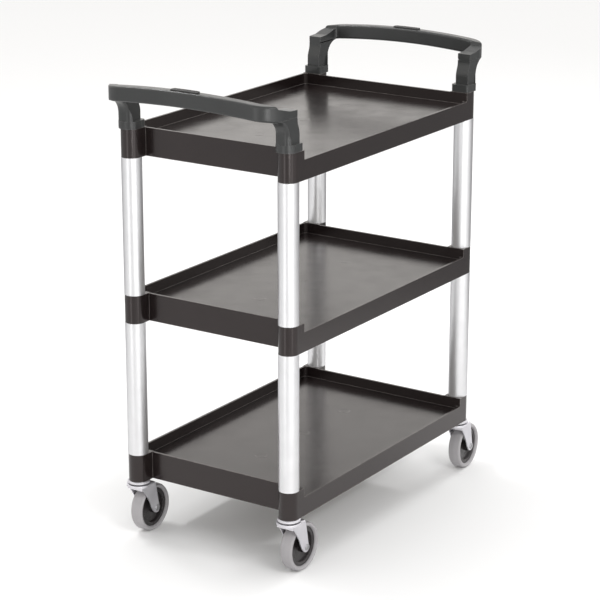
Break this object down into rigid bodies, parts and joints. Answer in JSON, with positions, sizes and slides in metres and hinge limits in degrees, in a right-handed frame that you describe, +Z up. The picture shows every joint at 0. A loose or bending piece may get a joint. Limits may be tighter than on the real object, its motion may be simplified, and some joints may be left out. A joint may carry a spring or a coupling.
{
  "type": "food service trolley",
  "caption": "Open service trolley with flat plastic shelves between aluminium tube columns, a push handle at each end and swivel casters.",
  "frame": {"origin": "on the floor under the middle of the trolley", "axes": "+Z up, +X along the trolley towards the right-hand handle, +Y towards the back; -Y is the front, where the shelves have a low lip"},
  "size_m": [0.8316, 0.4183, 0.9586],
  "materials": {
    "tray_plastic": "brownish black, semi-gloss moulded",
    "column_aluminium": "satin anodised tube",
    "handle_plastic": "dark grey, fine moulded grain",
    "grip_rubber": "soft black, grooved",
    "zinc_steel": "bright zinc plated",
    "axle_steel": "turned, plain",
    "hub_plastic": "near black moulded nylon",
    "tyre_rubber": "grey non-marking, satin"
  },
  "bodies": {
    "trolley": {"lower_tray": "tray_plastic", "middle_tray": "tray_plastic", "upper_tray": "tray_plastic", "lower_column_left_back": "column_aluminium", "lower_column_left_front": "column_aluminium", "lower_column_right_front": "column_aluminium", "lower_column_right_back": "column_aluminium", "upper_column_left_back": "column_aluminium", "upper_column_left_front": "column_aluminium", "upper_column_right_front": "column_aluminium", "upper_column_right_back": "column_aluminium", "right_handle": "handle_plastic", "left_handle": "handle_plastic", "right_grip_pad": "grip_rubber", "left_grip_pad": "grip_rubber", "handle_screws": "zinc_steel", "caster_socket_left_back": "hub_plastic", "caster_socket_left_front": "hub_plastic", "caster_socket_right_front": "hub_plastic", "caster_socket_right_back": "hub_plastic", "caster_stem_left_back": "zinc_steel", "caster_stem_left_front": "zinc_steel", "caster_stem_right_front": "zinc_steel", "caster_stem_right_back": "zinc_steel"},
    "swivel_left_back": {"caster_fork_left_back": "zinc_steel", "caster_balls_left_back": "axle_steel", "axle_bolt_left_back": "axle_steel", "axle_nut_left_back": "axle_steel", "axle_sleeve_left_back": "axle_steel"},
    "wheel_left_back": {"wheel_hub_left_back": "hub_plastic", "tyre_left_back": "tyre_rubber"},
    "swivel_left_front": {"caster_fork_left_front": "zinc_steel", "caster_balls_left_front": "axle_steel", "axle_bolt_left_front": "axle_steel", "axle_nut_left_front": "axle_steel", "axle_sleeve_left_front": "axle_steel"},
    "wheel_left_front": {"wheel_hub_left_front": "hub_plastic", "tyre_left_front": "tyre_rubber"},
    "swivel_right_front": {"caster_fork_right_front": "zinc_steel", "caster_balls_right_front": "axle_steel", "axle_bolt_right_front": "axle_steel", "axle_nut_right_front": "axle_steel", "axle_sleeve_right_front": "axle_steel"},
    "wheel_right_front": {"wheel_hub_right_front": "hub_plastic", "tyre_right_front": "tyre_rubber"},
    "swivel_right_back": {"caster_fork_right_back": "zinc_steel", "caster_balls_right_back": "axle_steel", "axle_bolt_right_back": "axle_steel", "axle_nut_right_back": "axle_steel", "axle_sleeve_right_back": "axle_steel"},
    "wheel_right_back": {"wheel_hub_right_back": "hub_plastic", "tyre_right_back": "tyre_rubber"}
  },
  "joints": [
    {"name": "swivel_turn_left_back", "type": "hinge", "parent": "trolley", "child": "swivel_left_back", "pos_m": [-0.332, 0.1835, 0.11], "axis": [0, 0, 1], "continuous": true},
    {"name": "wheel_spin_left_back", "type": "hinge", "parent": "swivel_left_back", "child": "wheel_left_back", "pos_m": [-0.2964, 0.18381, 0.05], "axis": [-0.0087, 1, 0], "continuous": true},
    {"name": "swivel_turn_left_front", "type": "hinge", "parent": "trolley", "child": "swivel_left_front", "pos_m": [-0.332, -0.1835, 0.11], "axis": [0, 0, 1], "continuous": true},
    {"name": "wheel_spin_left_front", "type": "hinge", "parent": "swivel_left_front", "child": "wheel_left_front", "pos_m": [-0.2964, -0.18381, 0.05], "axis": [0.0087, 1, 0], "continuous": true},
    {"name": "swivel_turn_right_front", "type": "hinge", "parent": "trolley", "child": "swivel_right_front", "pos_m": [0.332, -0.1835, 0.11], "axis": [0, 0, 1], "continuous": true},
    {"name": "wheel_spin_right_front", "type": "hinge", "parent": "swivel_right_front", "child": "wheel_right_front", "pos_m": [0.36753, -0.18133, 0.05], "axis": [-0.061, 0.9981, 0], "continuous": true},
    {"name": "swivel_turn_right_back", "type": "hinge", "parent": "trolley", "child": "swivel_right_back", "pos_m": [0.332, 0.1835, 0.11], "axis": [0, 0, 1], "continuous": true},
    {"name": "wheel_spin_right_back", "type": "hinge", "parent": "swivel_right_back", "child": "wheel_right_back", "pos_m": [0.36759, 0.18443, 0.05], "axis": [-0.0262, 0.9997, 0], "continuous": true}
  ]
}
